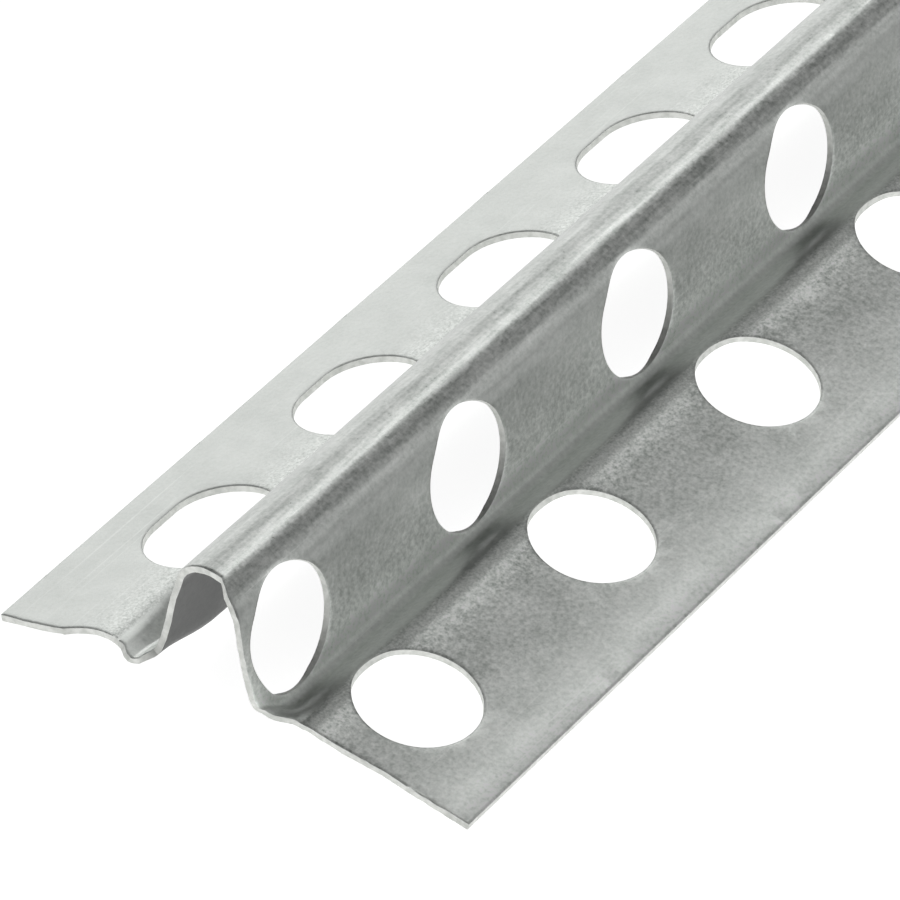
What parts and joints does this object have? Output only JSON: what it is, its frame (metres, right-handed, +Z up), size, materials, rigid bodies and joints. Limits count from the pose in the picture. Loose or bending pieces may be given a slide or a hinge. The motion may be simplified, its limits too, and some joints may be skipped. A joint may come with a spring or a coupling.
{
  "type": "plaster screed bead",
  "caption": "Long roll-formed galvanised steel strip with a rounded ridge between two perforated flanges, set in plaster as a levelling guide for the straightedge.",
  "frame": {"origin": "on the floor under the middle of the bead's length and of its whole width", "axes": "+X along the bead, away from the end that the picture shows; +Y towards the narrow flange with the oval holes; +Z up out of the crown"},
  "size_m": [2.5, 0.0212, 0.0064],
  "materials": {
    "galvanised_steel": "hot-dip galvanised, dull, fine grain"
  },
  "bodies": {
    "root": {"bead": "galvanised_steel"}
  },
  "joints": []
}
